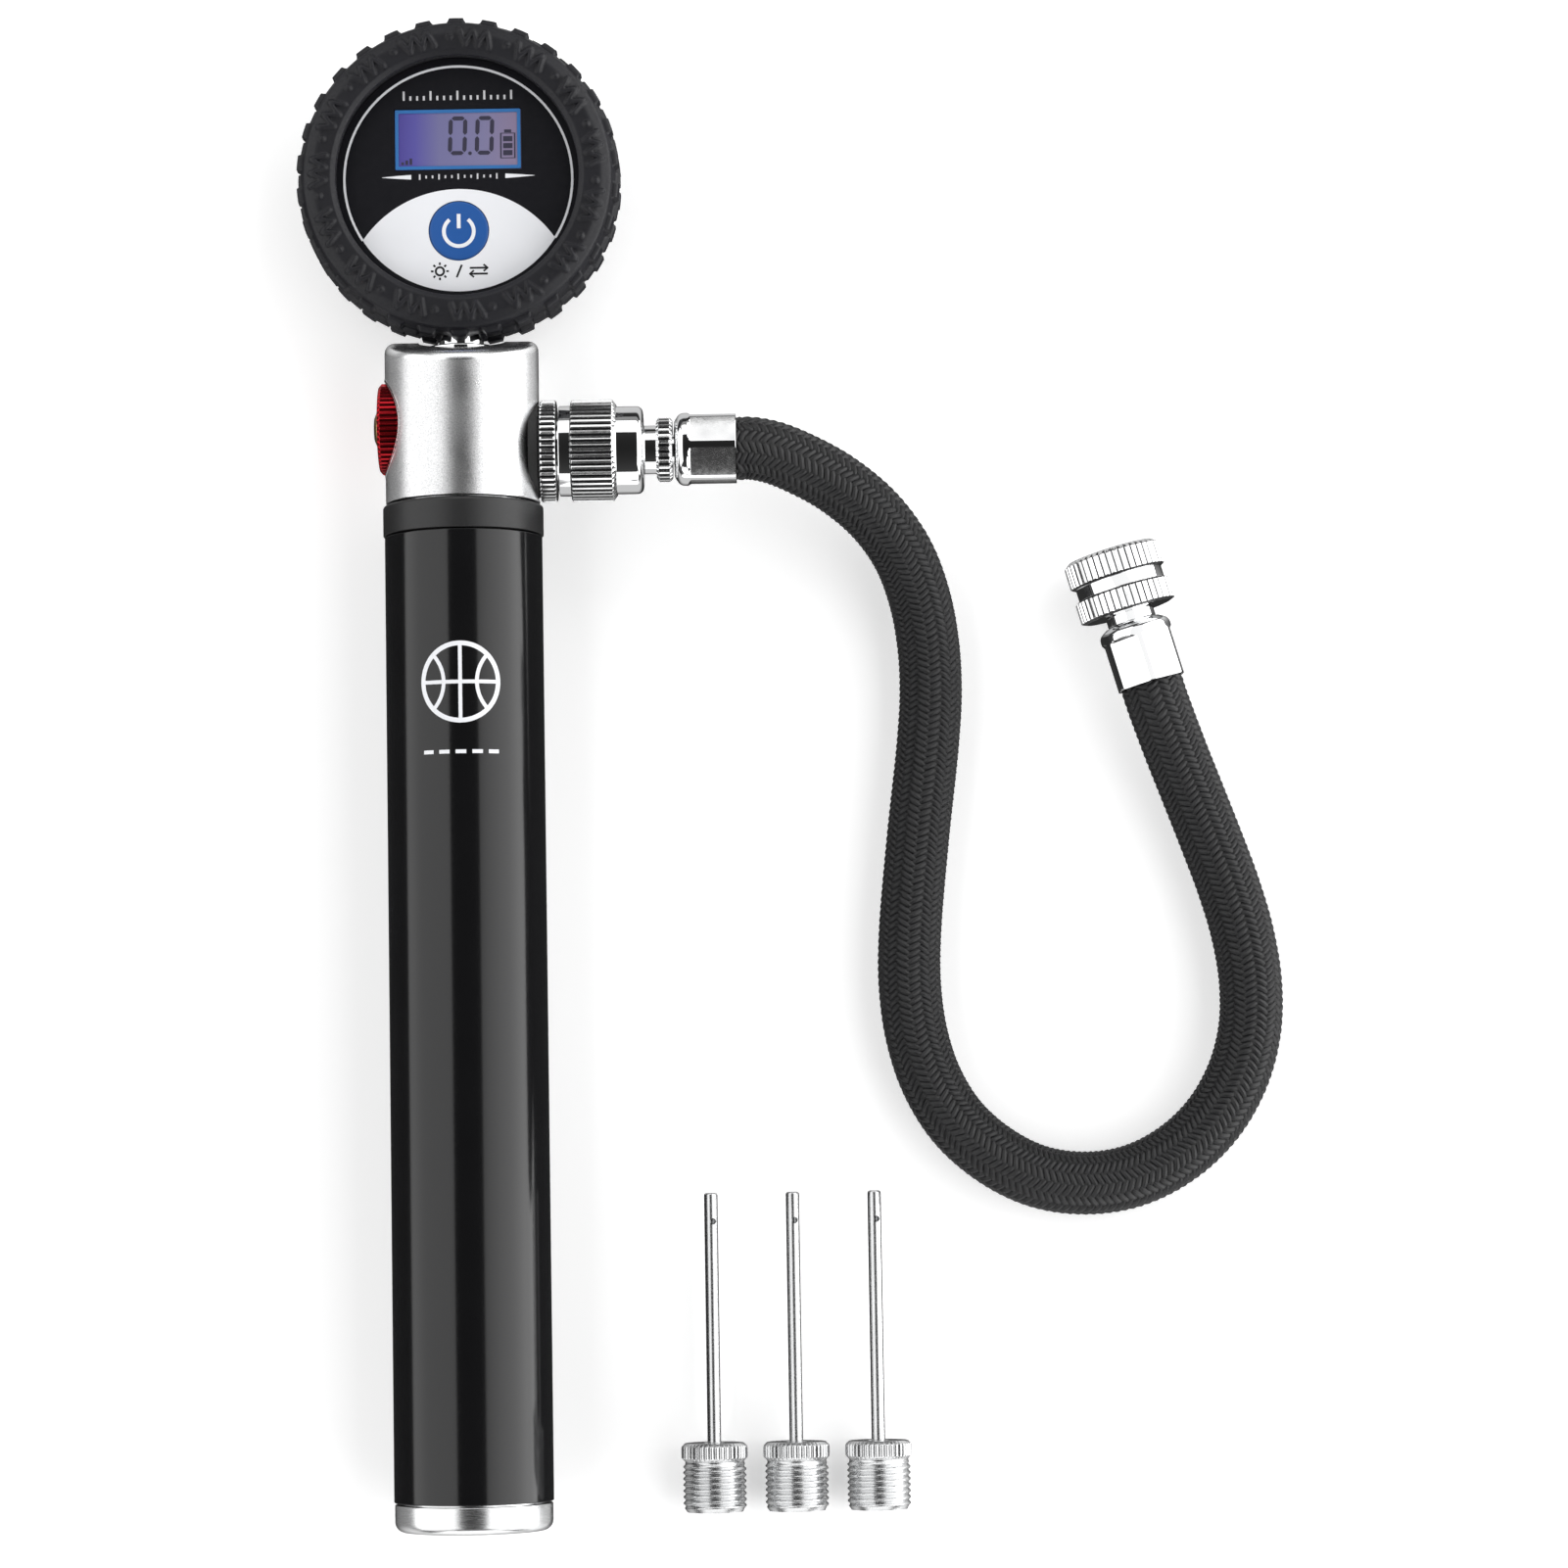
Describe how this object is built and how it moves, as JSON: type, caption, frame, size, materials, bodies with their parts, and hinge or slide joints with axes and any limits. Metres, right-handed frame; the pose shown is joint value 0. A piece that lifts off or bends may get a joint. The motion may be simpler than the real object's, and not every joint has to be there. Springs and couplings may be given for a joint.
{
  "type": "mini pump",
  "caption": "Hand-held telescoping mini pump with a tyre-shaped digital gauge, a bleed knob, a braided screw-on hose and ball needles beside it.",
  "frame": {"origin": "centre of the gauge's flat battery cover, on the surface that the pump lies on", "axes": "+Y along the pump from the end cap to the gauge, +X to the side that the hose leaves on, +Z out of the gauge's dial"},
  "size_m": [0.13, 0.2012, 0.0214],
  "materials": {
    "black_anodised": "semi-gloss black anodised aluminium",
    "satin_silver": "fine blasted satin",
    "polished_silver": "polished",
    "chrome": "bright plated",
    "steel": "bright drawn",
    "brass": "turned",
    "red_anodised": "red anodised, knurled",
    "grey_plastic": "matte",
    "black_plastic": "matte",
    "tyre_rubber": "matte moulded rubber",
    "seal_rubber": "soft black rubber",
    "braid": "tight black braid over a rubber core",
    "dial_print": "printed film, semi-gloss",
    "button_blue": "printed blue",
    "lcd": "backlit display",
    "window": "clear window",
    "circuit": "green circuit board"
  },
  "bodies": {
    "pump_head": {"head_body": "satin_silver", "valve_seat": "brass", "check_spring": "steel", "inner_barrel": "satin_silver", "barrel_seal": "seal_rubber", "rod_guide": "black_plastic", "outlet_nipple": "chrome", "outlet_seal": "seal_rubber", "hose_gasket": "seal_rubber", "hose_fitting": "chrome", "head_ferrule": "chrome", "hose": "braid", "far_ferrule": "chrome", "far_stem": "chrome", "far_gasket": "seal_rubber", "gauge_stem": "chrome", "stem_seal": "seal_rubber", "tyre_boot": "tyre_rubber", "gauge_case": "black_plastic", "battery_cover": "black_plastic", "cover_screw_1": "steel", "cover_screw_2": "steel", "cover_screw_3": "steel", "coin_cell": "steel", "battery_clip": "steel", "circuit_board": "circuit", "pressure_sensor": "black_plastic", "lcd_module": "lcd", "button_switch": "black_plastic", "face_plate": "dial_print", "lcd_window": "window"},
    "handle": {"outer_sleeve": "black_anodised", "guide_collar": "grey_plastic", "wiper_ring": "seal_rubber", "end_cap": "polished_silver", "cap_ring": "seal_rubber", "bump_stop": "seal_rubber", "piston_rod": "steel", "piston": "black_plastic", "piston_seal": "seal_rubber", "piston_bolt": "steel"},
    "bleed_slide": {"bleed_seal": "seal_rubber"},
    "bleed_knob": {"bleed_knob": "red_anodised", "bleed_spindle": "brass"},
    "connector_nut": {"connector_nut": "chrome"},
    "far_nut": {"far_nut": "chrome"},
    "power_button": {"power_button": "button_blue"},
    "check_ball": {"check_ball": "steel"},
    "needle_1": {"needle_1_base": "steel", "needle_1_tube": "steel"},
    "needle_2": {"needle_2_base": "steel", "needle_2_tube": "steel"},
    "needle_3": {"needle_3_base": "steel", "needle_3_tube": "steel"}
  },
  "joints": [
    {"name": "pump_stroke", "type": "slide", "parent": "pump_head", "child": "handle", "axis": [0, -1, 0], "range_m": [0, 0.1]},
    {"name": "bleed_lift", "type": "slide", "parent": "pump_head", "child": "bleed_slide", "axis": [-1, 0, 0], "range_m": [0, 0.000375]},
    {"name": "bleed_turn", "type": "hinge", "parent": "bleed_slide", "child": "bleed_knob", "pos_m": [-0.0095, -0.0333, 0.0107], "axis": [-1, 0, 0], "range_deg": [0, 270]},
    {"name": "connector_turn", "type": "hinge", "parent": "pump_head", "child": "connector_nut", "pos_m": [0.0185, -0.0366, 0.0107], "axis": [1, 0, 0], "continuous": true},
    {"name": "far_nut_turn", "type": "hinge", "parent": "pump_head", "child": "far_nut", "pos_m": [0.08779, -0.05496, 0.00665], "axis": [-0.279, 0.9603, 0], "continuous": true},
    {"name": "button_press", "type": "slide", "parent": "pump_head", "child": "power_button", "axis": [0, 0, -1], "range_m": [0, 0.0004], "stiffness_N_per_m": 1500, "springref_m": -0.0003},
    {"name": "check_lift", "type": "slide", "parent": "pump_head", "child": "check_ball", "axis": [0, 1, 0], "range_m": [0, 0.0008], "stiffness_N_per_m": 150, "springref_m": -0.0005, "deforming": ["check_spring"]},
    {"name": "needle_1_lift", "type": "slide", "parent": "pump_head", "child": "needle_1", "axis": [0, 0, 1], "range_m": [0, 0.05]},
    {"name": "needle_2_lift", "type": "slide", "parent": "pump_head", "child": "needle_2", "axis": [0, 0, 1], "range_m": [0, 0.05]},
    {"name": "needle_3_lift", "type": "slide", "parent": "pump_head", "child": "needle_3", "axis": [0, 0, 1], "range_m": [0, 0.05]}
  ],
  "couplings": [
    {"joint": "bleed_turn", "follows": "bleed_lift", "rad_per_m": 12566}
  ]
}
